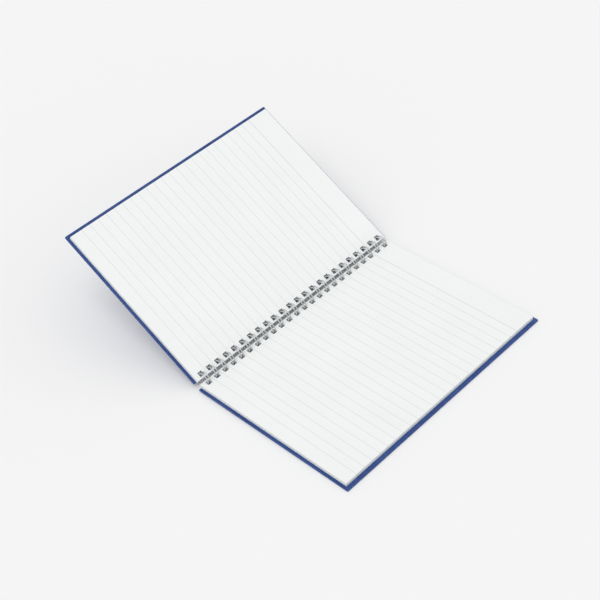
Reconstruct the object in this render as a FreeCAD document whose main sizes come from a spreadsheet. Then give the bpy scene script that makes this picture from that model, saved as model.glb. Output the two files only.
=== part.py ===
import FreeCAD, Part
import math
import os

import Sketcher
from FreeCAD import Placement, Rotation, Vector

# Hardcover notebook bound with a twin-loop wire, lying open near its middle.
# The back cover and the right-hand pages lie flat, and the front cover and the left-hand pages stand up at an angle.
# Millimetres. Y runs along the binding, X across it and Z up. The origin is on the surface that the notebook
# lies on, under the middle of its outline.
#
# A leaf, cover or stack of pages, is drawn in a frame of its own: the Y axis is the axis of the wire's loops,
# x grows outwards to the fore edge and z upwards to the side that is read.

SIZES = [
    ("page_width", 148.0, "A5 sheet, from the punched edge to the fore edge"),
    ("page_length", 210.0, "A5 sheet, along the binding"),
    ("left_stack", 3.0, "thickness of the pages turned to the left"),
    ("right_stack", 3.0, "thickness of the pages on the right"),
    ("board", 1.2, "thickness of a cover"),
    ("fore_overhang", 3.4, "cover beyond the pages at the fore edge"),
    ("end_overhang", 2.3, "cover beyond the pages at the head and the tail"),
    ("corner_radius", 1.0, "rounding of a cover's corners"),
    ("hinge_gap", 1.1, "from the axis of the loops to the punched edge of the pages"),
    ("cover_shift", 0.8, "how much further out than the pages a cover and its holes sit"),
    ("strip", 1.4, "paper between the punched edge and the holes"),
    ("hole_length", 4.0, "a hole's size along the binding"),
    ("hole_room", 0.71, "free space between the wire and the outer side of a hole"),
    ("right_drop", 1.0, "from the axis of the loops down to the top of the right-hand pages"),
    ("closed_gap", 0.2, "between the two stacks when the notebook is closed"),
    ("loop_count", 24, "pairs of loops"),
    ("loop_pitch", 8.6, "from one pair of loops to the next"),
    ("wire_size", 0.85, "diameter of the wire"),
    ("wire_gap", 2.4, "between the middles of the two wires of a pair"),
    ("loop_room", 0.2, "free space between the wire and the strips inside the loops"),
    ("under_room", 0.15, "between the back cover and the wire that runs under it"),
    ("loop_corner", 2.0, "bend of a loop at its lower right"),
    ("wire_bend", 0.8, "bend of the wire at its tips and roots"),
    ("tip_gap", 1.65, "from the tips of a pair of loops to their roots"),
    ("opening", 30.5, "degrees that the left leaf stands up from flat"),
]

SECTION_SIDES = 6
LOOP_RUNS = 10
CORNER_RUNS = 3
HEEL_RUNS = 2
HEEL_START = 215.0

doc = FreeCAD.newDocument("notebook")


def make_sheet():
    """The driving dimensions, one row each: name, value and what it measures."""
    sheet = doc.addObject("Spreadsheet::Sheet", "Sizes")
    for row, (name, value, meaning) in enumerate(SIZES, start=1):
        sheet.set(f"A{row}", name)
        sheet.set(f"B{row}", str(value))
        sheet.set(f"C{row}", meaning)
        sheet.setAlias(f"B{row}", name)
    doc.recompute()
    return sheet


size = make_sheet()

# Heights of the faces above the axis of the loops, each in its own leaf's frame.
left_top = size.right_drop - size.closed_gap
left_low = left_top - size.left_stack - size.board
right_low = -size.right_drop - size.right_stack - size.board

# The six-sided section has the area of the round wire. Its corners point along the binding.
section_radius = size.wire_size / 2 * math.sqrt(math.pi / (SECTION_SIDES / 2 * math.sin(math.tau / SECTION_SIDES)))
section_depth = section_radius * math.cos(math.pi / SECTION_SIDES)

# A loop clears the lower inner corner of each strip that turns inside it.
page_hole = size.hinge_gap + size.strip
cover_hole = page_hole + size.cover_shift
strip_corners = [
    (page_hole, -size.right_drop - size.right_stack),
    (page_hole, left_top - size.left_stack),
    (cover_hole, left_low),
]
loop_radius = max(math.hypot(x, z) for x, z in strip_corners) + size.loop_room + size.wire_size / 2
hole_width = loop_radius + size.wire_size / 2 + size.hole_room - page_hole
loop_bottom = right_low - size.under_room - section_depth


def bound_sketch(body, name, sides, height):
    """A rectangle on the body's XY plane. Each of its sides is an expression: left, right, low and high."""
    sketch = body.newObject("Sketcher::SketchObject", name)
    plane = next(item for item in body.Origin.OriginFeatures if item.Role == "XY_Plane")
    sketch.AttachmentSupport = (plane, [""])
    sketch.MapMode = "FlatFace"
    sketch.setExpression(".AttachmentOffset.Base.z", height)
    corners = [Vector(0, 0, 0), Vector(1, 0, 0), Vector(1, 1, 0), Vector(0, 1, 0)]
    for start, end in zip(corners, corners[1:] + corners[:1]):
        sketch.addGeometry(Part.LineSegment(start, end))
    for line in range(4):
        sketch.addConstraint(Sketcher.Constraint("Coincident", line, 2, (line + 1) % 4, 1))
    for line in (0, 2):
        sketch.addConstraint(Sketcher.Constraint("Horizontal", line))
    for line in (1, 3):
        sketch.addConstraint(Sketcher.Constraint("Vertical", line))
    places = [("DistanceX", 0, 1), ("DistanceX", 1, 1), ("DistanceY", 0, 1), ("DistanceY", 2, 1)]
    for (kind, line, point), expression in zip(places, sides):
        row = sketch.addConstraint(Sketcher.Constraint(kind, -1, 1, line, point, 1.0))
        sketch.setExpression(f"Constraints[{row}]", expression)
    return sketch


def make_leaf(label, inner, outer, half_length, low, thickness, hole_start, placement, rounded):
    """A cover or a stack of pages: a slab with a row of holes. The sizes are expressions in the sheet's names."""
    body = doc.addObject("PartDesign::Body", label)
    body.Label = label
    outline = bound_sketch(body, f"{label}_outline", (inner, outer, f"-({half_length})", half_length), low)
    slab = body.newObject("PartDesign::Pad", f"{label}_slab")
    slab.Profile = outline
    slab.setExpression("Length", thickness)
    doc.recompute()
    if rounded:
        upright = [
            f"Edge{number}"
            for number, edge in enumerate(slab.Shape.Edges, start=1)
            if abs(edge.tangentAt(edge.FirstParameter).z) > 0.99 and edge.CenterOfMass.x > size.page_width / 2
        ]
        rounding = body.newObject("PartDesign::Fillet", f"{label}_corners")
        rounding.Base = (slab, upright)
        rounding.setExpression("Radius", "Sizes.corner_radius")
    first = "(Sizes.loop_count - 1) / 2 * Sizes.loop_pitch"
    across = (hole_start, f"{hole_start} + {hole_width}")
    along = (f"-{first} - Sizes.hole_length / 2", f"-{first} + Sizes.hole_length / 2")
    one_hole = bound_sketch(body, f"{label}_hole", across + along, f"{low} + {thickness}")
    punch = body.newObject("PartDesign::Pocket", f"{label}_punch")
    punch.Profile = one_hole
    punch.setExpression("Length", thickness)
    row = body.newObject("PartDesign::LinearPattern", f"{label}_row")
    row.Originals = [punch]
    row.Direction = (one_hole, ["V_Axis"])
    row.Mode = "Extent"
    row.setExpression("Length", "(Sizes.loop_count - 1) * Sizes.loop_pitch")
    row.setExpression("Occurrences", "Sizes.loop_count")
    body.Tip = row
    body.Placement = placement
    doc.recompute()
    return body


def turned(x, z, degrees):
    """The point (x, z) after a turn about the Y axis that lowers the side towards +X."""
    angle = math.radians(degrees)
    return x * math.cos(angle) + z * math.sin(angle), z * math.cos(angle) - x * math.sin(angle)


# The notebook rests on the bottoms of the loops and on the back cover's fore edge, so the right leaf slopes a little.
fore_edge = size.hinge_gap + size.page_width + size.fore_overhang
drop_x = math.sqrt(loop_radius**2 - size.right_drop**2)
heel_x = drop_x - size.loop_corner
slope = math.degrees(math.atan2(right_low - loop_bottom + section_depth, fore_edge - heel_x))
left_edge = turned(*turned(-fore_edge, left_low, size.opening), slope)[0]
right_edge = turned(fore_edge, right_low + size.board, slope)[0]
axis_x = -(left_edge + right_edge) / 2
axis_z = -turned(heel_x, loop_bottom - section_depth, slope)[1]

lying = Placement(Vector(axis_x, 0, axis_z), Rotation(Vector(0, 1, 0), slope))
about_face = Placement(Vector(0, 0, 0), Rotation(Vector(0, 0, 1), 180))
raised = lying.multiply(Placement(Vector(0, 0, 0), Rotation(Vector(0, 1, 0), size.opening))).multiply(about_face)


def loop_profile():
    """One loop in the XZ plane as straight runs, from its root under the axis round to its tip."""
    points = [Vector(size.wire_bend, 0, loop_bottom), Vector(heel_x, 0, loop_bottom)]
    bend = Vector(heel_x, 0, loop_bottom + size.loop_corner)
    for step in range(1, CORNER_RUNS + 1):
        angle = math.radians(-90 + 90 * step / CORNER_RUNS)
        points.append(bend + Vector(math.cos(angle), 0, math.sin(angle)) * size.loop_corner)
    first = -math.degrees(math.asin(size.right_drop / loop_radius))
    for step in range(LOOP_RUNS + 1):
        angle = math.radians(first + (HEEL_START - first) * step / LOOP_RUNS)
        points.append(Vector(math.cos(angle), 0, math.sin(angle)) * loop_radius)
    # The heel is an arc of a larger circle, tangent to the loop, that reaches down to the level of the roots.
    start = math.radians(HEEL_START)
    heel_radius = (loop_radius * math.sin(start) - loop_bottom) / (1 + math.sin(start))
    centre = Vector(math.cos(start), 0, math.sin(start)) * (loop_radius - heel_radius)
    root_angle = math.acos(-centre.x / heel_radius)
    tip_angle = math.tau - root_angle - size.tip_gap / heel_radius
    leg_angle = tip_angle - size.wire_bend / heel_radius
    for step in range(1, HEEL_RUNS + 1):
        angle = start + (leg_angle - start) * step / HEEL_RUNS
        points.append(centre + Vector(math.cos(angle), 0, math.sin(angle)) * heel_radius)
    tip = centre + Vector(math.cos(tip_angle), 0, math.sin(tip_angle)) * heel_radius
    return points, tip


def wire_route():
    """The whole wire: up one side of each pair of loops, round the tip, down the other side and on to the next."""
    profile, tip = loop_profile()
    root = Vector(0, 0, loop_bottom)
    half_gap = size.wire_gap / 2
    route = []
    for pair in range(int(size.loop_count)):
        middle = (pair - (size.loop_count - 1) / 2) * size.loop_pitch
        near, far = Vector(0, middle - half_gap, 0), Vector(0, middle + half_gap, 0)
        bend = Vector(0, size.wire_bend, 0)
        if pair > 0:
            route.append(root + near - bend)
        route += [point + near for point in profile]
        route += [tip + near + bend, tip + far - bend]
        route += [point + far for point in reversed(profile)]
        if pair < size.loop_count - 1:
            route.append(root + far + bend)
    return route


def make_wire(placement):
    """The binding wire, one length bent into all its loops."""
    route = wire_route()
    along = (route[1] - route[0]).normalize()
    side = Vector(0, 1, 0)
    up = along.cross(side)
    corners = []
    for corner in range(SECTION_SIDES + 1):
        angle = math.tau * corner / SECTION_SIDES
        corners.append(route[0] + (side * math.cos(angle) + up * math.sin(angle)) * section_radius)
    sweep = Part.BRepOffsetAPI.MakePipeShell(Part.makePolygon(route))
    mitred = 1
    sweep.setTransitionMode(mitred)
    sweep.add(Part.makePolygon(corners))
    sweep.build()
    sweep.makeSolid()
    wire = doc.addObject("Part::Feature", "binding_wire")
    wire.Label = "binding_wire"
    wire.Shape = sweep.shape()
    wire.Placement = placement
    length = sum((end - start).Length for start, end in zip(route, route[1:]))
    expected = length * math.pi * (size.wire_size / 2) ** 2
    if abs(wire.Shape.Volume - expected) > 0.001 * expected:
        raise RuntimeError(f"binding_wire holds {wire.Shape.Volume:.1f} mm3, not {expected:.1f}")
    print(f"binding_wire is {length:.0f} mm of wire")
    return wire


def make_pages(label, top, thickness, placement):
    """A stack of pages, its top that far above the axis of the loops."""
    inner = "Sizes.hinge_gap"
    outer = "Sizes.hinge_gap + Sizes.page_width"
    hole_start = "Sizes.hinge_gap + Sizes.strip"
    low = f"{top} - {thickness}"
    return make_leaf(label, inner, outer, "Sizes.page_length / 2", low, thickness, hole_start, placement, False)


def make_cover(label, page_top, page_thickness, placement):
    """A cover, under a stack of pages with the given top and thickness."""
    inner = "Sizes.hinge_gap + Sizes.cover_shift"
    outer = "Sizes.hinge_gap + Sizes.page_width + Sizes.fore_overhang"
    half_length = "Sizes.page_length / 2 + Sizes.end_overhang"
    hole_start = "Sizes.hinge_gap + Sizes.strip + Sizes.cover_shift"
    low = f"{page_top} - {page_thickness} - Sizes.board"
    return make_leaf(label, inner, outer, half_length, low, "Sizes.board", hole_start, placement, True)


LEFT_TOP = "Sizes.right_drop - Sizes.closed_gap"
RIGHT_TOP = "-Sizes.right_drop"

pieces = [
    make_cover("front_cover", LEFT_TOP, "Sizes.left_stack", raised),
    make_pages("left_pages", LEFT_TOP, "Sizes.left_stack", raised),
    make_pages("right_pages", RIGHT_TOP, "Sizes.right_stack", lying),
    make_cover("back_cover", RIGHT_TOP, "Sizes.right_stack", lying),
    make_wire(lying),
]
doc.recompute()

for item in doc.Objects:
    if "Invalid" in item.State or "Error" in item.State:
        raise RuntimeError(f"{item.Label} failed: {item.State}")
for piece in pieces:
    if piece.Shape.isNull() or not piece.Shape.isValid() or len(piece.Shape.Solids) != 1:
        raise RuntimeError(f"{piece.Label} is not one valid solid")

print(f"axis of the loops at x {axis_x:.4f}, z {axis_z:.4f}; slope {slope:.4f} degrees")
print(f"loop radius {loop_radius:.3f}, hole width {hole_width:.3f}, loop bottom {loop_bottom:.3f}")

os.makedirs("parts", exist_ok=True)
for piece in pieces:
    piece.Shape.exportStep(f"parts/{piece.Label}.step")
    box = piece.Shape.BoundBox
    print(f"{piece.Label}: {piece.Shape.Volume:.0f} mm3, z from {box.ZMin:.4f} to {box.ZMax:.3f}")
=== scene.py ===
"""Open hardcover notebook with a twin-loop wire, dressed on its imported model."""
import math
import random

import bmesh
import bpy
from mathutils import Euler, Matrix, Vector


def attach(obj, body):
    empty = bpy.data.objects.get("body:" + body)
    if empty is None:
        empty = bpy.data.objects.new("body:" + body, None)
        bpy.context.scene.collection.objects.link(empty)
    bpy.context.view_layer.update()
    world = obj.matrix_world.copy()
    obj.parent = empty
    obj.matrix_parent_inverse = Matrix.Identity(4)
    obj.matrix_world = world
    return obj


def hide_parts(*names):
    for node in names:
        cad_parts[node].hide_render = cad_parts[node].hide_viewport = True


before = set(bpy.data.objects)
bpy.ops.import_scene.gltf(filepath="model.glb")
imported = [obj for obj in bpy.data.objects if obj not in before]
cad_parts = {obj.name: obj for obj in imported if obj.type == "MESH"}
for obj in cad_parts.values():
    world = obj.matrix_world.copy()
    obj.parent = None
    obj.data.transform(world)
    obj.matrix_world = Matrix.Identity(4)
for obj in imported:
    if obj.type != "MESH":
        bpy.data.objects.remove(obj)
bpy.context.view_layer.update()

MM = 0.001

# The sizes that the pieces share with the solids, in millimetres and degrees.
PAGE_WIDTH = 148.0
HALF_PAGE = 105.0
STACK = 3.0
BOARD = 1.2
FORE_OVERHANG = 3.4
END_OVERHANG = 2.3
COVER_CORNER = 1.0
HINGE_GAP = 1.1
COVER_SHIFT = 0.8
STRIP = 1.4
HOLE_LENGTH = 4.0
HOLE_WIDTH = 3.998
LEFT_TOP = 0.8
RIGHT_TOP = -1.0
LOOPS = 24
PITCH = 8.6
WIRE = 0.85
WIRE_GAP = 2.4
LOOP_RADIUS = 5.363
LOOP_CORNER = 2.0
ROOT_BEND = 0.8
TIP_GAP = 1.65
OPENING = 30.5
SLOPE = 0.3684
AXIS = Vector((-9.9143, 0.0, 6.1804))

# The loops' lowest line is 0.025 mm above the solid's. That wire is six-sided, with a flat underside nearer
# to its middle, so the round wire would reach below it.
LOOP_BOTTOM = -5.73

# The ruling, along the binding from the head line.
HEAD_LINE = 85.0
LINE_PITCH = 8.14
LINE_COUNT = 23

# Display level of the backdrop, and the share of a surface's colour that the even light shows.
BACKDROP = 245
AMBIENT = 0.67

# Half the floor's side and its drop below the notebook, in metres.
FLOOR_HALF = 6.0
FLOOR_DROP = 0.00004

# The sheets of a stack, the open slit between two of them, and how far their cuts and holes may differ.
SHEETS = 30
SHEET_GAP = 0.008
SHEET_SLIDE = 0.05
FORE_CUT = 0.14
INNER_CUT = 0.06
END_CUT = 0.1

# The rounding of the boards' edges.
EDGE_ROUND = 0.22
SHARP_ANGLE = math.radians(40)

# Where the large arc of a loop gives way to its heel, and the shortest run of wire that is kept.
HEEL_START = 215.0
SHORTEST_RUN = 0.02

lying = Matrix.Translation(AXIS) @ Matrix.Rotation(math.radians(SLOPE), 4, "Y")
raised = lying @ Matrix.Rotation(math.radians(OPENING), 4, "Y") @ Matrix.Rotation(math.pi, 4, "Z")


def linear(level):
    """A display level from 0 to 255 as a linear value."""
    share = level / 255
    if share <= 0.04045:
        return share / 12.92
    return ((share + 0.055) / 1.055) ** 2.4


def colour(red, green, blue):
    return (linear(red), linear(green), linear(blue), 1.0)


# The camera stands where a fit to the photograph puts it.
camera_data = bpy.data.cameras.new("camera")
camera_data.sensor_width = 36.0
camera_data.lens = 78.10
camera_data.clip_start = 0.05
camera_data.clip_end = 20.0
camera = bpy.data.objects.new("camera", camera_data)
camera.location = (0.564949, -0.487810, 0.691192)
camera.rotation_euler = Euler((math.radians(47.7628), math.radians(5.8725), math.radians(44.1143)), "XYZ")
bpy.context.scene.collection.objects.link(camera)
bpy.context.scene.camera = camera


class Nodes:
    """Short calls for one material's nodes."""

    def __init__(self, name):
        self.material = bpy.data.materials.new(name)
        self.material.use_nodes = True
        self.tree = self.material.node_tree
        self.shader = self.tree.nodes["Principled BSDF"]

    def add(self, kind, inputs=(), **settings):
        node = self.tree.nodes.new(kind)
        for key, value in settings.items():
            setattr(node, key, value)
        for socket, value in dict(inputs).items():
            self.set(node, socket, value)
        return node

    def set(self, node, socket, value):
        if isinstance(value, bpy.types.NodeSocket):
            self.tree.links.new(value, node.inputs[socket])
        else:
            node.inputs[socket].default_value = value

    def maths(self, operation, first, second=0.0):
        node = self.add("ShaderNodeMath", operation=operation)
        self.set(node, 0, first)
        self.set(node, 1, second)
        return node.outputs[0]

    def ramp(self, value, low, high, out_low=0.0, out_high=1.0):
        node = self.add("ShaderNodeMapRange")
        self.set(node, "Value", value)
        self.set(node, "From Min", low)
        self.set(node, "From Max", high)
        self.set(node, "To Min", out_low)
        self.set(node, "To Max", out_high)
        return node.outputs["Result"]

    def mix(self, share, first, second):
        node = self.add("ShaderNodeMix", data_type="RGBA", blend_type="MIX")
        self.set(node, 0, share)
        self.set(node, 6, first)
        self.set(node, 7, second)
        return node.outputs[2]

    def noise(self, scale, detail=3.0, vector=None, roughness=0.5):
        inputs = {"Scale": scale, "Detail": detail, "Roughness": roughness}
        if vector is not None:
            inputs["Vector"] = vector
        return self.add("ShaderNodeTexNoise", inputs).outputs["Fac"]

    def bump(self, height, strength, distance):
        node = self.add("ShaderNodeBump", {"Height": height, "Strength": strength, "Distance": distance})
        self.tree.links.new(node.outputs["Normal"], self.shader.inputs["Normal"])


def paper_material():
    """White ruled paper with a fine fibre. The first line of the ruling is the stronger head line."""
    n = Nodes("ruled_paper")
    where = n.add("ShaderNodeTexCoord").outputs["Object"]
    fibre = n.noise(900.0, 4.0, where, 0.6)
    cloud = n.noise(28.0, 2.0, where)
    tone = n.maths("ADD", n.maths("MULTIPLY", fibre, 0.5), n.maths("MULTIPLY", cloud, 0.5))
    base = n.mix(n.ramp(tone, 0.3, 0.7), colour(239, 241, 240), colour(243, 245, 244))
    flat = n.add("ShaderNodeUVMap", uv_map="leaf").outputs["UV"]
    parts = n.add("ShaderNodeSeparateXYZ", {"Vector": flat}).outputs
    along = n.maths("DIVIDE", n.maths("SUBTRACT", HEAD_LINE * MM, parts["Y"]), LINE_PITCH * MM)
    nearest = n.maths("ROUND", along)
    off = n.maths("MULTIPLY", n.maths("ABSOLUTE", n.maths("SUBTRACT", along, nearest)), LINE_PITCH)
    ink = n.ramp(off, 0.16, 0.27, 1.0, 0.0)
    ink = n.maths("MULTIPLY", ink, n.maths("GREATER_THAN", nearest, -0.5))
    ink = n.maths("MULTIPLY", ink, n.maths("LESS_THAN", nearest, LINE_COUNT - 0.5))
    head = n.maths("LESS_THAN", nearest, 0.5)
    spread = n.ramp(n.noise(2500.0, 2.0, where), 0.3, 0.7, 0.72, 1.0)
    depth = n.maths("MULTIPLY", n.maths("ADD", 0.62, n.maths("MULTIPLY", head, 0.3)), spread)
    base = n.mix(n.maths("MULTIPLY", ink, depth), base, colour(196, 198, 198))
    n.tree.links.new(base, n.shader.inputs["Base Color"])
    n.shader.inputs["Roughness"].default_value = 0.78
    n.shader.inputs["Specular IOR Level"].default_value = 0.3
    n.bump(fibre, 0.12, 0.00006)
    return n.material


def edge_material():
    """The cut edges of the sheets: the same paper, painted a little greyer and bluer as shade on the stack's
    sides, with fine specks and streaks.
    """
    n = Nodes("cut_edges")
    where = n.add("ShaderNodeTexCoord").outputs["Object"]
    speck = n.noise(1600.0, 3.0, where)
    streak = n.noise(140.0, 2.0, where)
    tone = n.maths("ADD", n.maths("MULTIPLY", speck, 0.6), n.maths("MULTIPLY", streak, 0.4))
    # Painted shade: the edge colours are greyer and bluer than the paper's faces, standing in for the shade
    # on the sides of the stack.
    base = n.mix(n.ramp(tone, 0.3, 0.7), colour(212, 218, 220), colour(226, 230, 231))
    n.tree.links.new(base, n.shader.inputs["Base Color"])
    n.shader.inputs["Roughness"].default_value = 0.9
    n.shader.inputs["Specular IOR Level"].default_value = 0.2
    n.bump(speck, 0.25, 0.00008)
    return n.material


def cover_material():
    """Blue covering paper over board: a fine leather-like grain, with a painted highlight, broken up by
    noise, along the board's edges and sides where they catch the light.
    """
    n = Nodes("blue_cover")
    where = n.add("ShaderNodeTexCoord").outputs["Object"]
    voronoi = n.add("ShaderNodeTexVoronoi", {"Vector": where, "Scale": 1500.0}, feature="F1")
    cells = voronoi.outputs["Distance"]
    grain = n.noise(2600.0, 3.0, where)
    cloud = n.noise(35.0, 3.0, where)
    base = n.mix(n.ramp(cloud, 0.3, 0.7), colour(45, 71, 130), colour(57, 84, 145))
    base = n.mix(n.ramp(cells, 0.1, 0.7, 0.0, 0.35), base, colour(32, 54, 106))
    # Painted highlight: the board's side faces and a rim of 0.6 mm along its edges are mixed towards a paler
    # blue, broken up by noise, to stand in for the light that the edges catch.
    flat = n.add("ShaderNodeUVMap", uv_map="rub").outputs["UV"]
    rim = n.add("ShaderNodeSeparateXYZ", {"Vector": flat}).outputs["X"]
    ragged = n.ramp(n.noise(420.0, 4.0, where, 0.65), 0.42, 0.68)
    rim_highlight = n.maths("MULTIPLY", n.ramp(rim, 0.0, 0.0006, 1.0, 0.0), ragged)
    base = n.mix(n.maths("MULTIPLY", rim_highlight, 0.4), base, colour(100, 124, 178))
    n.tree.links.new(base, n.shader.inputs["Base Color"])
    n.shader.inputs["Roughness"].default_value = 0.58
    n.shader.inputs["Specular IOR Level"].default_value = 0.25
    height = n.maths("ADD", n.maths("MULTIPLY", cells, 0.7), n.maths("MULTIPLY", grain, 0.3))
    n.bump(height, 0.35, 0.00012)
    return n.material


def wire_material():
    """Coated steel wire, grey with a soft gloss and fine drawing marks."""
    n = Nodes("coated_wire")
    where = n.add("ShaderNodeTexCoord").outputs["Object"]
    marks = n.noise(1800.0, 3.0, where)
    base = n.mix(n.ramp(marks, 0.3, 0.7), colour(184, 187, 188), colour(202, 205, 206))
    n.tree.links.new(base, n.shader.inputs["Base Color"])
    n.tree.links.new(n.ramp(marks, 0.3, 0.7, 0.26, 0.38), n.shader.inputs["Roughness"])
    n.shader.inputs["Metallic"].default_value = 0.45
    n.bump(marks, 0.08, 0.00003)
    return n.material


RULED = paper_material()
EDGES = edge_material()
COVER = cover_material()
STEEL = wire_material()


def slab(bm, across, along, heights, place, flat_layer, face_slot, corner=0.0):
    """One sheet or board with its row of holes, as a closed shape in its leaf's frame, with its flat map."""
    inner, hole_in, hole_out, outer = across
    low_y, high_y = along
    low_z, high_z = heights
    xs = [inner, hole_in, hole_out, outer]
    ys = [low_y]
    for pair in range(LOOPS):
        middle = (pair - (LOOPS - 1) / 2) * PITCH
        ys += [middle - HOLE_LENGTH / 2, middle + HOLE_LENGTH / 2]
    ys.append(high_y)
    solid = {(i, j) for i in range(3) for j in range(len(ys) - 1) if not (i == 1 and j % 2 == 1)}
    grid = {}

    def vert(i, j, level):
        key = (i, j, level)
        if key not in grid:
            grid[key] = bm.verts.new((xs[i], ys[j], high_z if level else low_z))
        return grid[key]

    for i, j in sorted(solid):
        ring = [(i, j), (i + 1, j), (i + 1, j + 1), (i, j + 1)]
        top = bm.faces.new([vert(a, b, 1) for a, b in ring])
        bottom = bm.faces.new([vert(a, b, 0) for a, b in reversed(ring)])
        top.material_index = face_slot
        bottom.material_index = face_slot
        for step, neighbour in enumerate([(i, j - 1), (i + 1, j), (i, j + 1), (i - 1, j)]):
            if neighbour not in solid:
                a, b = ring[step], ring[(step + 1) % 4]
                bm.faces.new([vert(*a, 0), vert(*b, 0), vert(*b, 1), vert(*a, 1)])
    if corner:
        upright = [e for e in bm.edges if all(v.co.x > outer - 0.01 for v in e.verts)
                   and abs(e.verts[0].co.z - e.verts[1].co.z) > 0.1
                   and min(abs(e.verts[0].co.y - low_y), abs(e.verts[0].co.y - high_y)) < 0.01]
        bmesh.ops.bevel(bm, geom=upright, offset=corner, segments=8, profile=0.5, affect="EDGES")
    for face in bm.faces:
        for loop in face.loops:
            co = loop.vert.co
            world_y = (place.to_3x3() @ co).y
            loop[flat_layer].uv = (co.x * MM, world_y * MM)


def finish_piece(bm, name, place, materials, body, node):
    """Puts the mesh in place, in metres, gives it its materials, ties the piece to its body and hides the
    imported part that it stands for.
    """
    bmesh.ops.transform(bm, matrix=Matrix.Scale(MM, 4) @ place, verts=bm.verts)
    mesh = bpy.data.meshes.new(name)
    bm.to_mesh(mesh)
    bm.free()
    for material in materials:
        mesh.materials.append(material)
    piece = bpy.data.objects.new(name, mesh)
    bpy.context.scene.collection.objects.link(piece)
    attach(piece, body)
    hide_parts(node)


def make_stack(name, top, place, body, node, seed):
    """A stack of separate sheets. Each is cut and punched a hair differently from the next."""
    rng = random.Random(seed)
    bm = bmesh.new()
    flat = bm.loops.layers.uv.new("leaf")
    pitch = STACK / SHEETS
    for sheet in range(SHEETS):
        high = top - sheet * pitch
        slide = rng.uniform(-SHEET_SLIDE, SHEET_SLIDE)
        fore = HINGE_GAP + PAGE_WIDTH - rng.uniform(0.0, FORE_CUT)
        inner = HINGE_GAP + rng.uniform(0.0, INNER_CUT)
        hole_in = HINGE_GAP + STRIP + slide * 0.3
        across = (inner, hole_in, hole_in + HOLE_WIDTH, fore)
        ends = (-HALF_PAGE + rng.uniform(0.0, END_CUT), HALF_PAGE - rng.uniform(0.0, END_CUT))
        gap = SHEET_GAP if sheet < SHEETS - 1 else 0.0
        slab(bm, across, ends, (high - pitch + gap, high), place, flat, 1)
    finish_piece(bm, name, place, [EDGES, RULED], body, node)


def make_cover(name, page_top, place, body, node):
    """A board wrapped in blue paper, with rounded corners and softened edges."""
    bm = bmesh.new()
    flat = bm.loops.layers.uv.new("leaf")
    rub = bm.loops.layers.uv.new("rub")
    inner = HINGE_GAP + COVER_SHIFT
    outer = HINGE_GAP + PAGE_WIDTH + FORE_OVERHANG
    half = HALF_PAGE + END_OVERHANG
    hole_in = inner + STRIP
    high = page_top - STACK
    across = (inner, hole_in, hole_in + HOLE_WIDTH, outer)
    slab(bm, across, (-half, half), (high - BOARD, high), place, flat, 0, COVER_CORNER)
    sharp = [e for e in bm.edges if len(e.link_faces) == 2 and e.calc_face_angle(0.0) > SHARP_ANGLE]
    bmesh.ops.bevel(bm, geom=sharp, offset=EDGE_ROUND, segments=3, profile=0.5, affect="EDGES",
                    clamp_overlap=True)
    for face in bm.faces:
        for loop in face.loops:
            x, y, _ = loop.vert.co
            away = min(outer - x, x - inner, half - abs(y))
            loop[rub].uv = (max(away, 0.0) * MM, 0.0)
    finish_piece(bm, name, place, [COVER], body, node)


def arc(centre, radius, start, end, steps):
    """Points on an arc in the XZ plane, angles in degrees, without its first point."""
    points = []
    for step in range(1, steps + 1):
        angle = math.radians(start + (end - start) * step / steps)
        x = centre[0] + radius * math.cos(angle)
        z = centre[1] + radius * math.sin(angle)
        points.append(Vector((x, 0.0, z)))
    return points


def loop_profile():
    """One loop in the XZ plane, from its root round to where its tip starts, and the way the tip points."""
    drop = -RIGHT_TOP
    drop_x = math.sqrt(LOOP_RADIUS ** 2 - drop ** 2)
    heel_x = drop_x - LOOP_CORNER
    points = [Vector((ROOT_BEND, 0, LOOP_BOTTOM)), Vector((heel_x, 0, LOOP_BOTTOM))]
    points += arc((heel_x, LOOP_BOTTOM + LOOP_CORNER), LOOP_CORNER, -90.0, 0.0, 8)
    first = -math.degrees(math.asin(drop / LOOP_RADIUS))
    points.append(Vector((drop_x, 0, -drop)))
    points += arc((0.0, 0.0), LOOP_RADIUS, first, HEEL_START, 40)
    start = math.radians(HEEL_START)
    heel_radius = (LOOP_RADIUS * math.sin(start) - LOOP_BOTTOM) / (1 + math.sin(start))
    centre = ((LOOP_RADIUS - heel_radius) * math.cos(start), (LOOP_RADIUS - heel_radius) * math.sin(start))
    root_angle = math.acos(-centre[0] / heel_radius)
    tip_angle = math.tau - root_angle - TIP_GAP / heel_radius
    leg_angle = tip_angle - WIRE_GAP / 2 / heel_radius
    points += arc(centre, heel_radius, HEEL_START, math.degrees(leg_angle), 6)
    along = Vector((-math.sin(leg_angle), 0.0, math.cos(leg_angle)))
    return points, along


def wire_points():
    """The whole wire as one line: up each pair of loops, round its tip, down again and on to the next."""
    profile, along = loop_profile()
    half_gap = WIRE_GAP / 2
    root = Vector((0, 0, LOOP_BOTTOM))
    line = []
    for pair in range(LOOPS):
        middle = (pair - (LOOPS - 1) / 2) * PITCH
        near, far = Vector((0, middle - half_gap, 0)), Vector((0, middle + half_gap, 0))
        if pair > 0:
            line += bend(root + near - Vector((0, ROOT_BEND, 0)), root + near, profile[0] + near)
        line += [point + near for point in profile]
        leg = profile[-1] + Vector((0, middle, 0))
        for step in range(1, 10):
            angle = math.pi * step / 10
            aside = Vector((0, half_gap * math.cos(angle), 0))
            line.append(leg + along * half_gap * math.sin(angle) - aside)
        line += [point + far for point in reversed(profile)]
        if pair < LOOPS - 1:
            line += bend(profile[0] + far, root + far, root + far + Vector((0, ROOT_BEND, 0)))
    return line


def bend(start, corner, end):
    """A rounded corner as a few points between start and end."""
    points = []
    for step in range(7):
        share = step / 6
        points.append(start * (1 - share) ** 2 + corner * 2 * share * (1 - share) + end * share ** 2)
    return points


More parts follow.
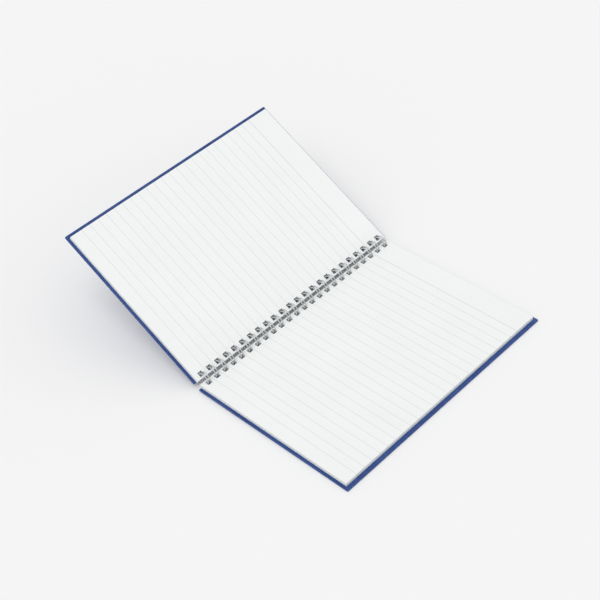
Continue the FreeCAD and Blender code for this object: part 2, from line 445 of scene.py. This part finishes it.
def make_wire():
    """The binding wire, swept round along its line and kept as a mesh."""
    curve = bpy.data.curves.new("wire_line", "CURVE")
    curve.dimensions = "3D"
    curve.bevel_depth = WIRE / 2 * MM
    curve.bevel_resolution = 2
    curve.use_fill_caps = True
    kept = []
    for point in wire_points():
        if not kept or (point - kept[-1]).length > SHORTEST_RUN:
            kept.append(point)
    spline = curve.splines.new("POLY")
    spline.points.add(len(kept) - 1)
    to_metres = Matrix.Scale(MM, 4) @ lying
    for target, point in zip(spline.points, kept):
        target.co = (*(to_metres @ point), 1.0)
    line = bpy.data.objects.new("wire_line", curve)
    bpy.context.scene.collection.objects.link(line)
    mesh = bpy.data.meshes.new_from_object(line.evaluated_get(bpy.context.evaluated_depsgraph_get()))
    bpy.data.objects.remove(line)
    mesh.materials.clear()
    mesh.materials.append(STEEL)
    for polygon in mesh.polygons:
        polygon.use_smooth = True
    piece = bpy.data.objects.new("twin_loop_wire", mesh)
    bpy.context.scene.collection.objects.link(piece)
    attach(piece, "base")
    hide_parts("binding_wire")


make_cover("front_board", LEFT_TOP, raised, "front_cover", "front_cover")
make_cover("back_board", RIGHT_TOP, lying, "base", "back_cover")
make_stack("left_sheets", LEFT_TOP, raised, "left_pages", "left_pages", 3)
make_stack("right_sheets", RIGHT_TOP, lying, "right_pages", "right_pages", 8)
make_wire()


def make_floor():
    """A plain pale floor, just below the surface that the notebook lies on."""
    mesh = bpy.data.meshes.new("floor")
    size = FLOOR_HALF
    low = -FLOOR_DROP
    mesh.from_pydata([(-size, -size, low), (size, -size, low), (size, size, low), (-size, size, low)], [],
                     [(0, 1, 2, 3)])
    n = Nodes("floor")
    n.shader.inputs["Base Color"].default_value = colour(BACKDROP, BACKDROP, BACKDROP)
    n.shader.inputs["Roughness"].default_value = 1.0
    n.shader.inputs["Specular IOR Level"].default_value = 0.0
    mesh.materials.append(n.material)
    floor = bpy.data.objects.new("floor", mesh)
    bpy.context.scene.collection.objects.link(floor)


def make_light(name, towards, level, spread):
    """A soft distant lamp. A surface that faces it shows that share of its colour."""
    data = bpy.data.lights.new(name, "SUN")
    data.energy = level * math.pi
    data.angle = math.radians(spread)
    light = bpy.data.objects.new(name, data)
    light.rotation_euler = Vector(towards).to_track_quat("Z", "Y").to_euler()
    bpy.context.scene.collection.objects.link(light)


def make_world():
    """Even light from all round. The camera, gloss and clear materials see it as bright as the floor."""
    world = bpy.data.worlds.new("studio")
    bpy.context.scene.world = world
    world.use_nodes = True
    nodes, links = world.node_tree.nodes, world.node_tree.links
    rays = nodes.new("ShaderNodeLightPath").outputs
    seen = rays["Is Camera Ray"]
    for name in ("Is Glossy Ray", "Is Transmission Ray"):
        either = nodes.new("ShaderNodeMath")
        either.operation = "MAXIMUM"
        links.new(seen, either.inputs[0])
        links.new(rays[name], either.inputs[1])
        seen = either.outputs[0]
    level = nodes.new("ShaderNodeMapRange")
    links.new(seen, level.inputs["Value"])
    level.inputs["To Min"].default_value = AMBIENT
    level.inputs["To Max"].default_value = linear(BACKDROP)
    background = nodes["Background"]
    background.inputs["Color"].default_value = (1.0, 1.0, 1.0, 1.0)
    links.new(level.outputs["Result"], background.inputs["Strength"])


make_floor()
make_light("key", (0.2, -0.38, 0.85), 0.37, 40.0)
make_world()
bpy.context.scene.view_settings.view_transform = "Standard"
